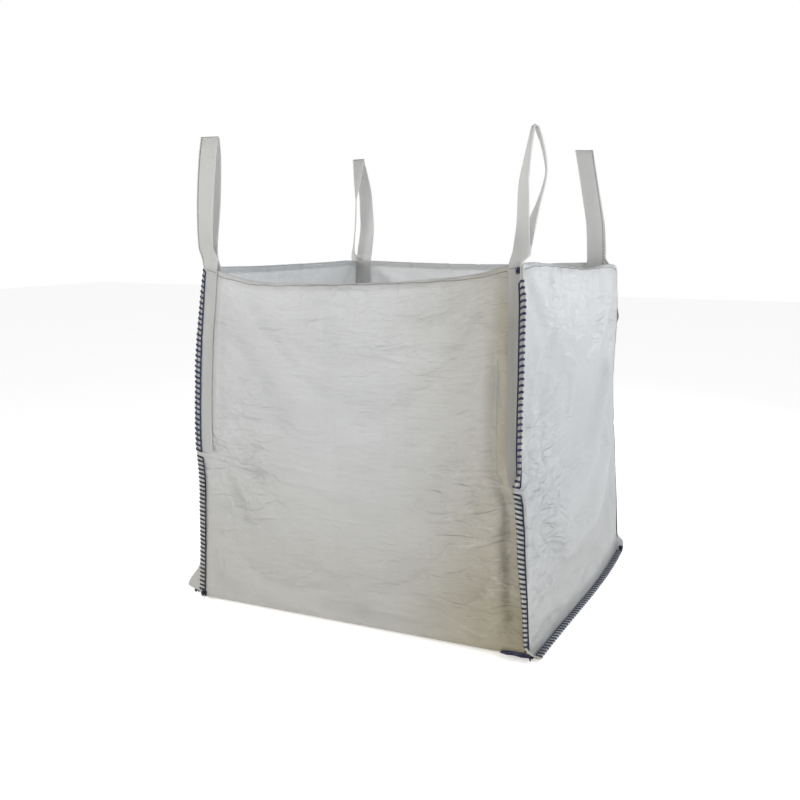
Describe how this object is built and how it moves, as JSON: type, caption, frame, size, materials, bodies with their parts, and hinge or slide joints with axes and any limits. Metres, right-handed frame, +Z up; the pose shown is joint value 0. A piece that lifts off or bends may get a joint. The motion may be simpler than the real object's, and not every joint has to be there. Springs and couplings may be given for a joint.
{
  "type": "bulk bag",
  "caption": "Open-top woven bulk bag with a square base, overlocked corner fins and a webbing lifting loop at each corner.",
  "frame": {"origin": "centre of the underside of the base", "axes": "+Z up, -Y towards the front wall, +X to the right of someone facing the front wall"},
  "size_m": [0.9516, 0.9082, 1.235],
  "materials": {
    "woven_cloth": "woven polypropylene tape, slightly glossy and translucent",
    "webbing": "herringbone webbing, matt",
    "overlock_thread": "navy twisted thread",
    "hem_thread": "grey-brown twisted thread"
  },
  "bodies": {
    "bag": {"body_panel": "woven_cloth", "side_panel_left": "woven_cloth", "side_panel_right": "woven_cloth", "base_overlock_left": "overlock_thread", "base_overlock_right": "overlock_thread", "hem_thread_front": "hem_thread", "hem_thread_back": "hem_thread", "hem_thread_left": "hem_thread", "hem_thread_right": "hem_thread", "upper_overlock_front_left": "overlock_thread", "lower_overlock_front_left": "overlock_thread", "tack_stitch_front_left": "hem_thread", "outer_tail_front_left": "webbing", "inner_tail_front_left": "webbing", "upper_overlock_front_right": "overlock_thread", "lower_overlock_front_right": "overlock_thread", "tack_stitch_front_right": "hem_thread", "outer_tail_front_right": "webbing", "inner_tail_front_right": "webbing", "upper_overlock_back_left": "overlock_thread", "lower_overlock_back_left": "overlock_thread", "tack_stitch_back_left": "hem_thread", "outer_tail_back_left": "webbing", "inner_tail_back_left": "webbing", "upper_overlock_back_right": "overlock_thread", "lower_overlock_back_right": "overlock_thread", "tack_stitch_back_right": "hem_thread", "outer_tail_back_right": "webbing", "inner_tail_back_right": "webbing"},
    "neck_front_left": {"outer_neck_front_left": "webbing", "inner_neck_front_left": "webbing"},
    "eye_front_left": {"eye_front_left": "webbing"},
    "neck_front_right": {"outer_neck_front_right": "webbing", "inner_neck_front_right": "webbing"},
    "eye_front_right": {"eye_front_right": "webbing"},
    "neck_back_left": {"outer_neck_back_left": "webbing", "inner_neck_back_left": "webbing"},
    "eye_back_left": {"eye_back_left": "webbing"},
    "neck_back_right": {"outer_neck_back_right": "webbing", "inner_neck_back_right": "webbing"},
    "eye_back_right": {"eye_back_right": "webbing"}
  },
  "joints": [
    {"name": "rim_fold_front_left", "type": "hinge", "parent": "bag", "child": "neck_front_left", "pos_m": [-0.424, -0.427, 0.91], "axis": [1, 0, 0], "range_deg": [-60, 120]},
    {"name": "eye_fold_front_left", "type": "hinge", "parent": "neck_front_left", "child": "eye_front_left", "pos_m": [-0.424, -0.427, 1.01], "axis": [0.9659, 0.2588, 0], "range_deg": [-15, 45]},
    {"name": "rim_fold_front_right", "type": "hinge", "parent": "bag", "child": "neck_front_right", "pos_m": [0.424, -0.427, 0.91], "axis": [1, 0, 0], "range_deg": [-60, 120]},
    {"name": "eye_fold_front_right", "type": "hinge", "parent": "neck_front_right", "child": "eye_front_right", "pos_m": [0.424, -0.427, 1.014], "axis": [0.866, -0.5, 0], "range_deg": [-15, 45]},
    {"name": "rim_fold_back_left", "type": "hinge", "parent": "bag", "child": "neck_back_left", "pos_m": [-0.424, 0.427, 0.91], "axis": [-1, 0, 0], "range_deg": [-60, 120]},
    {"name": "eye_fold_back_left", "type": "hinge", "parent": "neck_back_left", "child": "eye_back_left", "pos_m": [-0.424, 0.427, 0.952], "axis": [-0.9272, 0.3746, 0], "range_deg": [-15, 45]},
    {"name": "rim_fold_back_right", "type": "hinge", "parent": "bag", "child": "neck_back_right", "pos_m": [0.384, 0.427, 0.91], "axis": [-1, 0, 0], "range_deg": [-60, 120]},
    {"name": "eye_fold_back_right", "type": "hinge", "parent": "neck_back_right", "child": "eye_back_right", "pos_m": [0.384, 0.427, 1.01], "axis": [-0.9272, -0.3746, 0], "range_deg": [-15, 45]}
  ]
}
